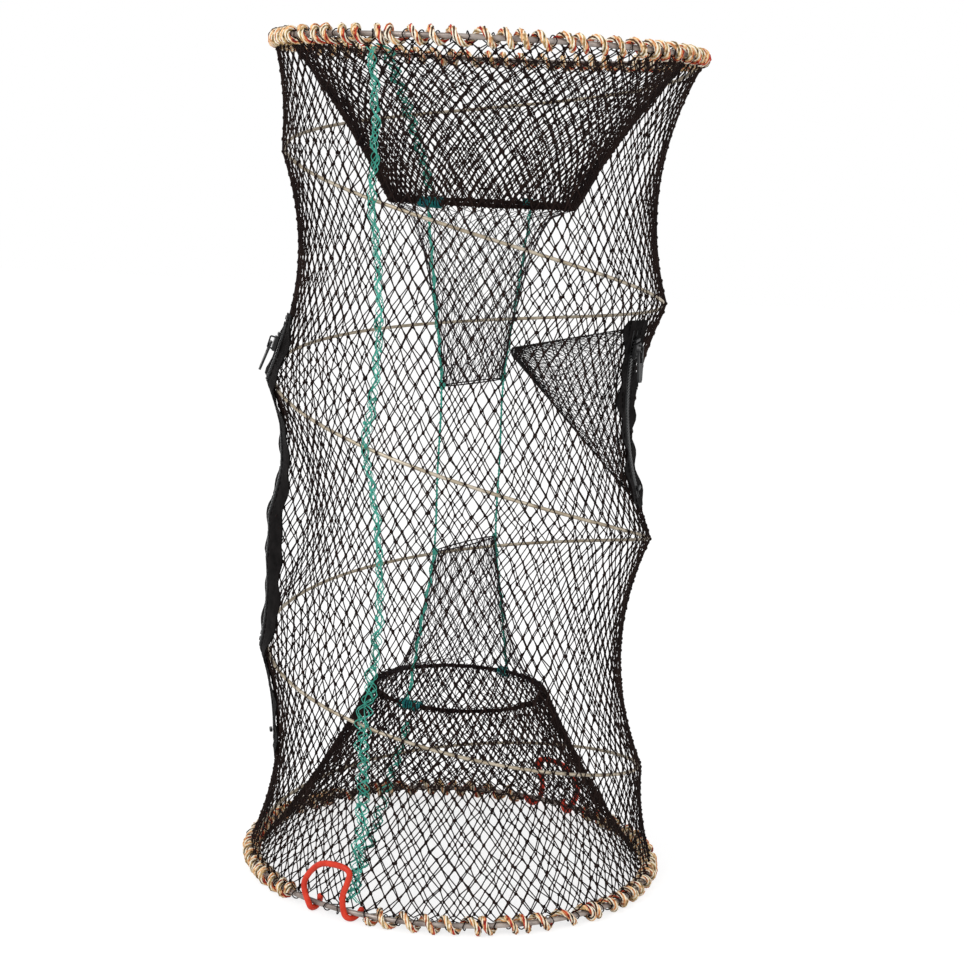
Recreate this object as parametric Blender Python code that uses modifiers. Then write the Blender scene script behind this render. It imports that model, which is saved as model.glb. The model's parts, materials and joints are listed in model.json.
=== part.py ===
"""Collapsible net trap: two wire hoops joined by a coil spring inside a diamond net, with a funnel
entrance at each end, a long side zip, a zipped bait pocket and two hooks on the bottom hoop.

Metres, +Z up. The trap stands on its bottom hoop, with the origin at the centre of its base.
Angles are measured from +X, counter-clockwise seen from above; the front is at 270 degrees.
"""

import math

import bmesh
import bpy
from mathutils import Matrix, Vector

# Clearances
gap = 0.0003
net_gap = 0.0008

# Hoops and their winding
hoop_radius = 0.1435
hoop_wire = 0.0040
wrap_cord = 0.0042
floor_cut = wrap_cord / 10
hoop_spacing = 0.569
wrap_loops_whole = 20
wrap_loops_half = 9
loop_points = 8
loop_inside = hoop_wire / 2 / math.cos(math.pi / loop_points) + gap
wrap_reach = loop_inside + wrap_cord
bottom_z = wrap_reach - floor_cut
top_z = bottom_z + hoop_spacing

# Coil spring: its height at each half turn, as parts of the hoop spacing above the bottom hoop
coil_wire = 0.0030
coil_radius = 0.1335
coil_steps = 24
coil_half_turns = (0.878, 0.704, 0.606, 0.416, 0.2756, 0.1253)
coil_end_drop = 0.0078
coil_end_radius = hoop_radius - 0.0042
coil_fade_turns = 0.2
sway = -0.0060

# Outer net
net_thick = 0.0010
net_rows = 6
net_edge = wrap_reach + gap
draw_in = 0.0165
draw_span = 0.160

# The side zip's tape buckles outward in the net's third bay: how far at each row of the net, going up
buckle_rows = (0.0, 0.0085, 0.0165, 0.0180, 0.0080, 0.0020, 0.0)
buckle_angles = (165.0, 180.0, 197.0, 210.0)
buckle_bay = 1

# Funnels, throats and sleeves
throat_hem = 0.0044
top_throat_radius = 0.0625
bottom_throat_radius = 0.0610
top_throat_z = 0.472
bottom_throat_z = 0.128
top_slit_z = 0.348
bottom_slit_z = 0.233
slit_width = 0.074
slit_depth = 0.008
slit_angle = 238.0
sleeve_thick = 0.0008
sleeve_rows = 5
sleeve_row_spread = 1.5
sleeve_pinch = 0.38
funnel_sag = 0.004
funnel_rows = 3
cord = 0.0020
cord_gap = 0.0018
whipping_cord = 0.0012
whipping_loops = 3
whipping_space = 0.0010
whipping_reach = throat_hem / 2 + 2 * gap + whipping_cord

# Green lacing
lacing = 0.0016
lacing_angle = 240.0
lacing_pitch = 0.0200
lacing_width = 0.0100
lacing_gap = 0.0019

# Zips
zip_gap = 0.00095
tape_width = 0.0120
tape_thick = 0.0010
teeth_width = 0.0050
teeth_thick = 0.0018
tape_steps = 2
slider_size = (0.0080, 0.0105, 0.0030)
bridge_wire = 0.0012
bridge_rise = 0.0030
stop_size = (0.0064, 0.0024, 0.0022)
pull_size = (0.0074, 0.0205)
pull_thick = 0.0014
pull_bar = 0.0017
pull_wall = 0.0016
pull_eye = 0.0066
pull_foot = 0.72
pull_corner = (0.0010, 0.0020)
bridge_corner = 0.0006
slider_lift = 0.0004
slider_edge = 0.0006
stop_edge = 0.0004
end_station = 0.3 * tape_width
left_zip_top = (190.0, 0.391)
left_zip_bottom = (190.0, 0.083)
pocket_zip_top = (329.0, 0.402)
pocket_zip_bottom = (343.0, 0.272)
tape_tail = 0.014
left_pull_lean = 21.0
pocket_pull_lean = 2.0

# Bait pocket
pocket_mouth = 0.016
pocket_tip = (0.030, 331.0, 0.372)
pocket_tip_size = 0.006
pocket_rows = 5
pocket_inset = 0.0026
pocket_end_inset = 0.006

# Hooks
hook_wire = 0.0037
hook_hold = hoop_wire / 2 + 0.00035 + hook_wire / 2
hook_angles = {"front_hook": 238.0, "rear_hook": 58.0}
hook_foot = 0.0150
hook_height = 0.0315
hook_bulge = 0.0205
wrap_gap = 12.5


def clear_scene():
    for item in list(bpy.data.objects):
        bpy.data.objects.remove(item, do_unlink=True)


clear_scene()
parts = bpy.data.collections.new("collapsible_net_trap")
cutters = bpy.data.collections.new("cutters")
bpy.context.scene.collection.children.link(parts)
bpy.context.scene.collection.children.link(cutters)


def material(name, colour, roughness, metallic=0.0):
    made = bpy.data.materials.new(name)
    made.use_nodes = True
    shader = made.node_tree.nodes["Principled BSDF"]
    shader.inputs["Base Color"].default_value = (*colour, 1.0)
    shader.inputs["Roughness"].default_value = roughness
    shader.inputs["Metallic"].default_value = metallic
    made.diffuse_color = (*colour, 1.0)
    return made


steel = material("steel_wire", (0.62, 0.58, 0.48), 0.45, 0.6)
black_net = material("black_netting", (0.03, 0.025, 0.022), 0.8)
green = material("green_twine", (0.03, 0.45, 0.33), 0.7)
winding = material("wrap_twine", (0.72, 0.42, 0.18), 0.85)
tape_cloth = material("zip_tape", (0.02, 0.02, 0.02), 0.8)
zip_metal = material("zip_hardware", (0.05, 0.05, 0.055), 0.35, 0.7)
red = material("red_coating", (0.78, 0.09, 0.05), 0.4)


def polar(radius, angle, height, centre_x=0.0):
    turn = math.radians(angle)
    return Vector((centre_x + radius * math.cos(turn), radius * math.sin(turn), height))


def take_in(item, name, look):
    """Names an object, gives it its material and moves it to the part's collection."""
    item.name = name
    item.data.name = name
    item.data.materials.clear()
    item.data.materials.append(look)
    for holder in list(item.users_collection):
        holder.objects.unlink(item)
    parts.objects.link(item)
    return item


def smooth(item, sharp=40):
    item.data.shade_smooth()
    item.data.set_sharp_from_angle(angle=math.radians(sharp))
    return item


def spline_curve(name, points, thickness, sides, closed=False):
    curve = bpy.data.curves.new(name, "CURVE")
    curve.dimensions = "3D"
    curve.bevel_depth = thickness / 2
    curve.bevel_resolution = (sides - 4) // 2
    curve.use_fill_caps = True
    spline = curve.splines.new("POLY")
    spline.points.add(len(points) - 1)
    for knot, point in zip(spline.points, points):
        knot.co = (*point, 1.0)
    spline.use_cyclic_u = closed
    return bpy.data.objects.new(name, curve)


def tube(name, points, thickness, look, sides=8, closed=False):
    return take_in(spline_curve(name, points, thickness, sides, closed), name, look)


def as_mesh(item):
    """The curve as a mesh object with its caps welded, in the curve's place."""
    bpy.context.view_layer.update()
    shape = item.evaluated_get(bpy.context.evaluated_depsgraph_get())
    mesh = bpy.data.meshes.new_from_object(shape)
    made = bpy.data.objects.new(item.name, mesh)
    made.matrix_world = item.matrix_world.copy()
    look = item.data.materials[0]
    name = item.name
    bpy.data.objects.remove(item, do_unlink=True)
    build = bmesh.new()
    build.from_mesh(mesh)
    bmesh.ops.remove_doubles(build, verts=build.verts, dist=0.00001)
    build.to_mesh(mesh)
    build.free()
    return take_in(made, name, look)


def smooth_path(knots, count):
    """Points along a smooth curve through the knots (Catmull-Rom)."""
    knots = [Vector(k) for k in knots]
    ends = [2 * knots[0] - knots[1]] + knots + [2 * knots[-1] - knots[-2]]
    points = []
    for step in range(count + 1):
        at = step / count * (len(knots) - 1)
        i = min(int(at), len(knots) - 2)
        t = at - i
        a, b, c, d = ends[i : i + 4]
        points.append(
            0.5 * (2 * b + (c - a) * t + (2 * a - 5 * b + 4 * c - d) * t**2 + (3 * b - a - 3 * c + d) * t**3)
        )
    return points


def least_gap(points, thickness, apart):
    """The least gap of a tube to itself, between points that lie further apart along it."""
    least = 1.0
    for i, first in enumerate(points):
        for second in points[i + apart :]:
            least = min(least, (first - second).length - thickness)
    return least


def lofted(name, section, rows, columns, thickness, look, closed=True):
    """A sheet through the points section(row share, column share), thickened to a shell."""
    build = bmesh.new()
    bmesh.ops.create_grid(build, x_segments=columns, y_segments=rows, size=0.5)
    for vert in build.verts:
        vert.co = section(vert.co.y + 0.5, vert.co.x + 0.5)
    if closed:
        bmesh.ops.remove_doubles(build, verts=build.verts, dist=0.00001)
    bmesh.ops.recalc_face_normals(build, faces=build.faces)
    mesh = bpy.data.meshes.new(name)
    build.to_mesh(mesh)
    build.free()
    item = take_in(bpy.data.objects.new(name, mesh), name, look)
    shell = item.modifiers.new("thickness", "SOLIDIFY")
    shell.thickness = thickness
    shell.offset = 0.0
    smooth(item)
    return item


# The coil's route, which the net and all that lies on the net follow

coil_turns = (len(coil_half_turns) + 1) / 2


def coil_height(turns):
    """The coil's height after a number of turns from its top end."""
    marks = [hoop_spacing - coil_end_drop]
    marks += [share * hoop_spacing for share in coil_half_turns]
    marks += [coil_end_drop]
    if turns <= 0:
        return bottom_z + marks[0]
    if turns >= coil_turns:
        return bottom_z + marks[-1]
    at = turns * 2
    i = min(int(at), len(marks) - 2)
    t = at - i
    before = marks[i - 1] if i else 2 * marks[0] - marks[1]
    after = marks[i + 2] if i + 2 < len(marks) else 2 * marks[-1] - marks[-2]
    b, c = marks[i], marks[i + 1]
    bend = 2 * before - 5 * b + 4 * c - after
    twist = 3 * b - before - 3 * c + after
    return bottom_z + 0.5 * (2 * b + (c - before) * t + bend * t**2 + twist * t**3)


def coil_reach(turns):
    """The coil's radius, which opens out to the hoops at both ends."""
    from_end = min(turns, coil_turns - turns) / coil_fade_turns
    blend = max(0.0, 1.0 - from_end)
    return coil_radius + (coil_end_radius - coil_radius) * blend**2


def sway_at(height):
    """How far the coil's centre stands to the side at a height."""
    share = (height - bottom_z) / hoop_spacing
    return sway * math.sin(math.pi * min(max(share, 0.0), 1.0))


def coil_point(turns):
    height = coil_height(turns)
    return polar(coil_reach(turns), 360 * turns, height, sway_at(height))


def net_supports(angle):
    """What holds the net out at an angle, as (height, radius) from the bottom hoop to the top one."""
    off = coil_wire / 2 + gap + net_thick / 2
    held = [(top_z - net_edge, hoop_radius)]
    turns = (angle % 360) / 360
    while turns <= coil_turns + 0.000001:
        held.append((coil_height(turns), coil_reach(turns) + off))
        turns += 1
    held.append((bottom_z + net_edge, hoop_radius))
    return sorted(held)


def between(marks, values, at):
    """The value at a place on a broken line, level beyond its ends."""
    if at <= marks[0]:
        return values[0]
    for near, far, first, last in zip(marks, marks[1:], values, values[1:]):
        if at <= far:
            return first + (last - first) * (at - near) / (far - near)
    return values[-1]


def buckle(angle, height):
    """How far the side zip's tape carries the net outward."""
    angle %= 360
    high = coil_height(angle / 360 + buckle_bay)
    low = coil_height(angle / 360 + buckle_bay + 1)
    rows = [i / (len(buckle_rows) - 1) for i in range(len(buckle_rows))]
    share = (height - low) / (high - low)
    return between(buckle_angles, (0, 1, 1, 0), angle) * between(rows, buckle_rows, share)


def net_radius(angle, height):
    """The net's radius about the coil's centre: drawn in between what holds it out."""
    held = net_supports(angle)
    height = min(max(height, held[0][0]), held[-1][0])
    for (low, low_r), (high, high_r) in zip(held, held[1:]):
        if height <= high:
            span = high - low
            t = (height - low) / span if span > 0 else 0.0
            drawn = draw_in * (span / draw_span) ** 2 * 4 * t * (1 - t)
            return low_r + (high_r - low_r) * t - drawn + buckle(angle, height)
    return held[-1][1]


def on_net(angle, height, out=0.0):
    return polar(net_radius(angle, height) + out, angle, height, sway_at(height))


def hoop(name, height):
    bpy.ops.mesh.primitive_torus_add(
        major_radius=hoop_radius,
        minor_radius=hoop_wire / 2,
        major_segments=60,
        minor_segments=6,
        location=(0, 0, height),
    )
    return smooth(take_in(bpy.context.object, name, steel))


def wound(start, sweep, loops, height, ring, reach, points_each=loop_points):
    """Points of a winding round a level ring, from an angle, over a sweep in degrees."""
    points = []
    for step in range(loops * points_each + 1):
        share = step / (loops * points_each)
        turn = 2 * math.pi * loops * share
        radius = ring + reach * math.cos(turn)
        points.append(polar(radius, start + sweep * share, height - reach * math.sin(turn)))
    return points


def winding_round_hoop(name, start, sweep, loops, height, cut_flat):
    reach = loop_inside + wrap_cord / 2
    points = wound(start, sweep, loops, height, hoop_radius, reach)
    print(f"{name}: least gap to itself {1000 * least_gap(points, wrap_cord, loop_points - 2):.2f} mm")
    item = tube(name, points, wrap_cord, winding, sides=6)
    if not cut_flat:
        return item
    item = smooth(as_mesh(item), 65)
    floor_slab = 0.02
    bpy.ops.mesh.primitive_cube_add(size=1, location=(0, 0, -floor_slab / 2))
    slab = bpy.context.object
    slab.name = name + "_floor"
    slab.scale = (3 * hoop_radius, 3 * hoop_radius, floor_slab)
    bpy.ops.object.transform_apply(location=False, rotation=False, scale=True)
    for holder in list(slab.users_collection):
        holder.objects.unlink(slab)
    cutters.objects.link(slab)
    slab.hide_render = True
    slab.display_type = "WIRE"
    cut = item.modifiers.new("floor", "BOOLEAN")
    cut.operation = "DIFFERENCE"
    cut.object = slab
    return item


hoop("bottom_ring", bottom_z)
hoop("top_ring", top_z)
left_start = hook_angles["rear_hook"] + wrap_gap
right_start = hook_angles["front_hook"] + wrap_gap
half_sweep = 180 - 2 * wrap_gap
winding_round_hoop("bottom_ring_wrap_left", left_start, half_sweep, wrap_loops_half, bottom_z, True)
winding_round_hoop("bottom_ring_wrap_right", right_start, half_sweep, wrap_loops_half, bottom_z, True)
whole_sweep = 360 - 360 / wrap_loops_whole / 2
winding_round_hoop("top_ring_wrap", 0, whole_sweep, wrap_loops_whole, top_z, False)

coil_points = [coil_point(i / coil_steps) for i in range(round(coil_turns * coil_steps) + 1)]
print(f"coil_spring: least gap to itself {1000 * least_gap(coil_points, coil_wire, coil_steps // 2):.2f} mm")
tube("coil_spring", coil_points, coil_wire, steel, sides=6)


def net_strip(down, along):
    """The net as a strip that winds down beside the coil, one turn of the coil deep."""
    turns = along * (coil_turns + 1) - 1
    upper = coil_height(turns) if turns > -0.000001 else top_z - net_edge
    lower = coil_height(turns + 1) if turns + 1 < coil_turns + 0.000001 else bottom_z + net_edge
    return on_net(360 * turns, upper + (lower - upper) * down)


lofted("outer_net", net_strip, net_rows, round((coil_turns + 1) * coil_steps), net_thick, black_net)


def funnel(name, hoop_z, throat_z, throat_radius):
    """A net cone from the inside of the hoop's winding to the hem of the throat."""
    mouth = hoop_radius - wrap_reach - gap - net_thick / 2
    end = throat_radius + whipping_reach + gap + net_thick / 2

    def section(down, round_share):
        sag = funnel_sag * 4 * down * (1 - down)
        radius = mouth + (end - mouth) * down - sag
        return polar(radius, 360 * round_share, hoop_z + (throat_z - hoop_z) * down)

    return lofted(name, section, funnel_rows, 32, net_thick, black_net)


def throat_ring(name, throat_z, throat_radius):
    bpy.ops.mesh.primitive_torus_add(
        major_radius=throat_radius,
        minor_radius=throat_hem / 2,
        major_segments=36,
        minor_segments=6,
        location=(0, 0, throat_z),
    )
    return smooth(take_in(bpy.context.object, name, black_net))


def whipping(name, throat_z, throat_radius, angle):
    """Cord wound round the hem where an inner cord is tied."""
    reach = whipping_reach - whipping_cord / 2
    sweep = math.degrees(whipping_loops * (whipping_cord + whipping_space) / throat_radius)
    points = wound(angle - sweep / 2, sweep, whipping_loops, throat_z, throat_radius, reach, 8)
    print(f"{name}: least gap to itself {1000 * least_gap(points, whipping_cord, 6):.2f} mm")
    return tube(name, points, whipping_cord, green, sides=6)


def sleeve(name, throat_z, slit_z, throat_radius):
    """A net sleeve that hangs from the throat's hem and narrows to a flat slit."""
    way = math.copysign(1, slit_z - throat_z)
    start = throat_z + way * (whipping_reach + gap + sleeve_thick / 2)

    def section(row_share, round_share):
        along = row_share**sleeve_row_spread
        turn = 2 * math.pi * round_share
        long_half = throat_radius + (slit_width / 2 - throat_radius) * along
        short_half = throat_radius + (slit_depth / 2 - throat_radius) * along**sleeve_pinch
        flat = Vector((long_half * math.cos(turn), short_half * math.sin(turn), 0))
        flat.rotate(Matrix.Rotation(math.radians(slit_angle), 3, "Z"))
        return flat + Vector((0, 0, start + (slit_z - start) * along))

    return lofted(name, section, sleeve_rows, 24, sleeve_thick, black_net)


def inner_cord(name, angle):
    """A cord from hem to hem that runs down beside both sleeves and holds the throats open."""
    beside = sleeve_thick / 2 + cord_gap + cord / 2
    past_hem = whipping_reach + gap
    top_start = top_throat_z - past_hem
    bottom_start = bottom_throat_z + past_hem
    knots = [
        polar(top_throat_radius + beside, angle, top_start),
        polar((top_throat_radius + slit_width / 2) / 2 + beside, angle, (top_start + top_slit_z) / 2),
        polar(slit_width / 2 + beside, angle, top_slit_z),
        polar(slit_width / 2 + beside, angle, (top_slit_z + bottom_slit_z) / 2),
        polar(slit_width / 2 + beside, angle, bottom_slit_z),
        polar((bottom_throat_radius + slit_width / 2) / 2 + beside, angle, (bottom_start + bottom_slit_z) / 2),
        polar(bottom_throat_radius + beside, angle, bottom_start),
    ]
    return tube(name, smooth_path(knots, 24), cord, green, sides=6)


for end, hoop_z, throat_z, slit_z, throat_radius in (
    ("top", top_z, top_throat_z, top_slit_z, top_throat_radius),
    ("bottom", bottom_z, bottom_throat_z, bottom_slit_z, bottom_throat_radius),
):
    funnel(f"{end}_funnel_net", hoop_z, throat_z, throat_radius)
    throat_ring(f"{end}_throat_ring", throat_z, throat_radius)
    whipping(f"{end}_throat_front_whipping", throat_z, throat_radius, slit_angle)
    whipping(f"{end}_throat_rear_whipping", throat_z, throat_radius, slit_angle - 180)
    sleeve(f"{end}_throat_sleeve", throat_z, slit_z, throat_radius)
inner_cord("front_inner_cord", slit_angle)
inner_cord("rear_inner_cord", slit_angle - 180)


def zigzag(low, high, place):
    """Points that cross from side to side on the way up, through place(side, height)."""
    count = round((high - low) / lacing_pitch * 2)
    points = []
    for step in range(count + 1):
        side = lacing_width / 2 * (1 if step % 2 else -1)
        points.append(place(side, low + (high - low) * step / count))
    return points


def lacing_on_wall(side, height):
    out = net_thick / 2 + lacing_gap + lacing / 2
    return on_net(lacing_angle + math.degrees(side / hoop_radius), height, out)


def lacing_on_funnel(hoop_z, throat_z, throat_radius):
    mouth = hoop_radius - wrap_reach - gap - net_thick / 2
    end = throat_radius + whipping_reach + gap + net_thick / 2

    def place(side, height):
        down = (height - hoop_z) / (throat_z - hoop_z)
        radius = mouth + (end - mouth) * down - funnel_sag * 4 * down * (1 - down)
        inward = net_thick / 2 + 2 * net_gap + lacing / 2
        return polar(radius - inward, lacing_angle + math.degrees(side / radius), height)

    return place


wall_low = bottom_z + net_edge + lacing
wall_high = top_z - net_edge - lacing
tube("side_seam_lacing", zigzag(wall_low, wall_high, lacing_on_wall), lacing, green, sides=6)
funnel_clear = 0.010
throat_clear = 0.012
top_place = lacing_on_funnel(top_z, top_throat_z, top_throat_radius)
bottom_place = lacing_on_funnel(bottom_z, bottom_throat_z, bottom_throat_radius)
top_route = zigzag(top_throat_z + throat_clear, top_z - funnel_clear, top_place)
bottom_route = zigzag(bottom_z + funnel_clear, bottom_throat_z - throat_clear, bottom_place)
tube("top_funnel_lacing", top_route, lacing, green, sides=6)
tube("bottom_funnel_lacing", bottom_route, lacing, green, sides=6)


def bevelled_box(name, size, frame, look, width=slider_edge):
    """A box with rounded edges whose own X, Y and Z are along, up and out in the given frame."""
    bpy.ops.mesh.primitive_cube_add(size=1)
    item = bpy.context.object
    item.scale = size
    bpy.ops.object.transform_apply(location=False, rotation=False, scale=True)
    item.matrix_world = frame
    take_in(item, name, look)
    edge = item.modifiers.new("edge", "BEVEL")
    edge.width = width
    edge.segments = 1
    return smooth(item)


def zip_line(top, bottom):
    """The zip's middle line on the net, from its top (share 0) to its bottom (share 1)."""

    def place(share, side=0.0, out=0.0):
        angle = top[0] + (bottom[0] - top[0]) * share
        height = top[1] + (bottom[1] - top[1]) * share
        return on_net(angle + math.degrees(side / hoop_radius), height, out)

    return place


def zip_frame(place, share, out, lean=None):
    """A frame on the zip: X to the side, Y up along it, Z straight out."""
    step = 0.004
    up = (place(share - step) - place(share + step)).normalized()
    out_way = place(share, 0, 0.01) - place(share)
    side = up.cross(out_way).normalized()
    if lean is not None:
        level = side.copy()
        level.z = 0
        side = level.normalized()
        up = Vector((0, 0, 1))
        up.rotate(Matrix.Rotation(-math.radians(lean), 3, side))
    normal = side.cross(up).normalized()
    at = place(share, 0, out)
    frame = Matrix.Identity(4)
    for row in range(3):
        frame[row][0], frame[row][1], frame[row][2], frame[row][3] = side[row], up[row], normal[row], at[row]
    return frame


def stations(top, bottom, start, stop, side):
    """Shares along a zip where its bands bend: at the net's rows, and evenly between them."""
    drop = top[1] - bottom[1]
    held = net_supports(top[0] + math.degrees(side / hoop_radius))
    parts_each = net_rows * tape_steps
    heights = [held[-1][0]]
    for (low, low_r), (high, high_r) in zip(held, held[1:]):
        heights += [low + (high - low) * i / parts_each for i in range(parts_each)]
    marks = sorted((top[1] - height) / drop for height in heights)
    apart = end_station / drop
    return [start] + [mark for mark in marks if start + apart < mark < stop - apart] + [stop]


def ribbon(name, place, shares, middle, width, out, thickness, look):
    """A flat band on the zip's line, bent at the given shares of it."""

    def section(across, along):
        share = shares[round(along * (len(shares) - 1))]
        return place(share, middle + width * (across - 0.5), out)

    return lofted(name, section, 1, len(shares) - 1, thickness, look, closed=False)


def pull_tab(name, frame):
    """A flat tab with an eye for the slider's bridge, hanging from its hinge bar."""
    curve = bpy.data.curves.new(name, "CURVE")
    curve.dimensions = "2D"
    curve.fill_mode = "BOTH"
    curve.extrude = pull_thick / 2
    half, length = pull_size[0] / 2, pull_size[1]
    bar = pull_bar / 2
    eye_half = half - pull_wall
    eye_low = bar + pull_eye
    foot = half * pull_foot
    inset, rise = pull_corner
    outline = [(-half, bar), (half, bar), (half, -eye_low), (foot, rise - length), (foot - inset, -length)]
    outline += [(inset - foot, -length), (-foot, rise - length), (-half, -eye_low)]
    eye = [(-eye_half, -bar), (eye_half, -bar), (eye_half, -eye_low), (-eye_half, -eye_low)]
    for loop in (outline, eye):
        spline = curve.splines.new("POLY")
        spline.points.add(len(loop) - 1)
        for knot, (x, y) in zip(spline.points, loop):
            knot.co = (x, y, 0, 1)
        spline.use_cyclic_u = True
    item = bpy.data.objects.new(name, curve)
    item.matrix_world = frame
    item = take_in(item, name, zip_metal)
    return as_mesh(item)


def slider(name, frame):
    """The slider's body with the bridge that its pull hangs from, as one solid."""
    width, height, depth = slider_size
    body = bevelled_box(name, slider_size, frame @ Matrix.Translation((0, 0, depth / 2)), zip_metal)
    foot = height / 2 - bridge_wire
    rise = depth + bridge_rise
    arch = [(0, -foot, depth - bridge_wire), (0, -foot, rise - bridge_corner)]
    arch += [(0, bridge_corner - foot, rise), (0, foot - bridge_corner, rise)]
    arch += [(0, foot, rise - bridge_corner), (0, foot, depth - bridge_wire)]
    bridge = spline_curve(name + "_bridge", [frame @ Vector(p) for p in arch], bridge_wire, 8)
    bridge.data.materials.append(zip_metal)
    parts.objects.link(bridge)
    bridge = as_mesh(bridge)
    for holder in list(bridge.users_collection):
        holder.objects.unlink(bridge)
    cutters.objects.link(bridge)
    bridge.hide_render = True
    bridge.display_type = "WIRE"
    join = body.modifiers.new("bridge", "BOOLEAN")
    join.operation = "UNION"
    join.object = bridge
    return body


def zipper(prefix, top, bottom, pull_lean):
    place = zip_line(top, bottom)
    length = (place(0) - place(1)).length
    tape_out = net_thick / 2 + zip_gap + tape_thick / 2
    teeth_gap = teeth_width / 2 + gap
    side = teeth_gap + tape_width / 2
    for half, middle in (("front", side), ("rear", -side)):
        shares = stations(top, bottom, 0, 1, middle)
        ribbon(f"{prefix}_{half}_tape", place, shares, middle, tape_width, tape_out, tape_thick, tape_cloth)
    first, last = tape_tail / length, 1 - tape_tail / length
    teeth_out = net_thick / 2 + zip_gap + teeth_thick / 2
    shares = stations(top, bottom, first, last, 0)
    ribbon(f"{prefix}_teeth", place, shares, 0, teeth_width, teeth_out, teeth_thick, zip_metal)
    seat = net_thick / 2 + zip_gap + teeth_thick + gap
    half_stop = stop_size[1] / 2
    slider_share = first + (half_stop + gap + slider_size[1] / 2) / length * 1.02
    for name, share in ((f"{prefix}_top_stop", first), (f"{prefix}_bottom_stop", last)):
        frame = zip_frame(place, share, seat + stop_size[2] / 2)
        bevelled_box(name, stop_size, frame, zip_metal, stop_edge)
    frame = zip_frame(place, slider_share, seat + slider_lift)
    slider(f"{prefix}_slider", frame)
    hinge = frame @ Vector((0, 0, slider_size[2] + bridge_rise / 2))
    hanging = zip_frame(place, slider_share, 0, pull_lean)
    hanging.translation = hinge
    pull_tab(f"{prefix}_pull", hanging)
    resting = place(slider_share)
    ending = place(last - (half_stop + gap + slider_size[1] / 2) / length)
    travel = ending - resting
    print(f"{prefix}: slider {tuple(round(v, 5) for v in frame.translation)}")
    print(f"{prefix}: travel {travel.length:.5f} along {tuple(round(v, 5) for v in travel.normalized())}")
    print(f"{prefix}: hinge {tuple(round(v, 5) for v in hinge)}")
    print(f"{prefix}: hinge axis {tuple(round(hanging[row][0], 5) for row in range(3))}")


zipper("left_zip", left_zip_top, left_zip_bottom, left_pull_lean)
zipper("pocket_zip", pocket_zip_top, pocket_zip_bottom, pocket_pull_lean)


def bait_pocket():
    """A flat pouch that hangs inside the wall from the pocket's zip and narrows to a tip."""
    place = zip_line(pocket_zip_top, pocket_zip_bottom)
    length = (place(0) - place(1)).length
    first = pocket_end_inset / length
    tip = polar(pocket_tip[0], pocket_tip[1], pocket_tip[2])

    def section(inward, round_share):
        turn = 2 * math.pi * round_share
        share = 0.5 - (0.5 - first) * math.cos(turn)
        mouth = place(share, 0, -pocket_inset)
        across = Vector((0, 0, 1)).cross(mouth - Vector((0, 0, mouth.z))).normalized()
        mouth += across * pocket_mouth / 2 * math.sin(turn)
        end = tip + across * pocket_tip_size / 2 * math.sin(turn)
        end += Vector((0, 0, pocket_tip_size / 2 * math.cos(turn)))
        return mouth.lerp(end, inward)

    return lofted("bait_pocket_net", section, pocket_rows, 16, sleeve_thick, black_net)


bait_pocket()


def hook(name, angle):
    """A hook of coated wire: an arch whose two feet go round the bare hoop."""
    chord = math.sqrt(hoop_radius**2 - hook_foot**2)
    hold = hook_hold
    low = hook_foot - 0.0050
    knots = [
        (-hook_foot + 0.0030, -hold * 0.3, hold * 1.02),
        (-hook_foot + 0.0016, -hold * 0.9, hold * 0.6),
        (-hook_foot + 0.0004, -hold * 0.98, -hold * 0.3),
        (-hook_foot - 0.0004, -hold * 0.3, -hold * 0.98),
        (-hook_foot - 0.0012, hold * 0.66, -hold * 0.76),
        (-hook_foot - 0.0026, hold * 1.06, 0.0014),
        (-hook_bulge, hold * 1.1, 0.0080),
        (-hook_bulge, hold * 1.1, 0.0150),
        (-hook_bulge + 0.0052, hold * 1.1, 0.0232),
        (-hook_bulge + 0.0130, hold * 1.1, hook_height - 0.0020),
        (0.0030, hold * 1.1, hook_height),
        (0.0125, hold * 1.1, hook_height - 0.0006),
        (0.0158, hold * 1.1, hook_height - 0.0040),
        (0.0138, hold * 1.1, 0.0200),
        (low + 0.0010, hold * 1.1, 0.0120),
        (low + 0.0012, hold * 1.08, 0.0050),
        (hook_foot - 0.0024, hold * 0.95, -0.0010),
        (hook_foot - 0.0004, hold * 0.5, -hold * 0.9),
        (hook_foot + 0.0012, -hold * 0.35, -hold * 0.98),
        (hook_foot + 0.0034, -hold * 1.06, -hold * 0.25),
        (hook_foot + 0.0056, -hold * 1.16, 0.0030),
    ]
    turn = math.radians(angle)
    outward = Vector((math.cos(turn), math.sin(turn), 0))
    along = Vector((-math.sin(turn), math.cos(turn), 0))
    placed = []
    for side, out, up in knots:
        placed.append(along * side + outward * (chord + out) + Vector((0, 0, bottom_z + up)))
    item = tube(name, smooth_path(placed, 46), hook_wire, red)
    print(f"{name}: hinge {tuple(round(v, 5) for v in outward * chord + Vector((0, 0, bottom_z)))}")
    print(f"{name}: axis {tuple(round(v, 5) for v in along)}")
    return item


for hook_name, hook_angle in hook_angles.items():
    hook(hook_name, hook_angle)
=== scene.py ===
"""The looks of a collapsible net trap: knotted netting, twine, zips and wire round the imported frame.

Metres, +Z up. Angles are measured from +X, counter-clockwise seen from above; the front is at 270
degrees, and left and right are as the camera sees them.
"""

import json
import math

import bmesh
import bpy
import numpy as np
from mathutils import Matrix, Vector


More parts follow.
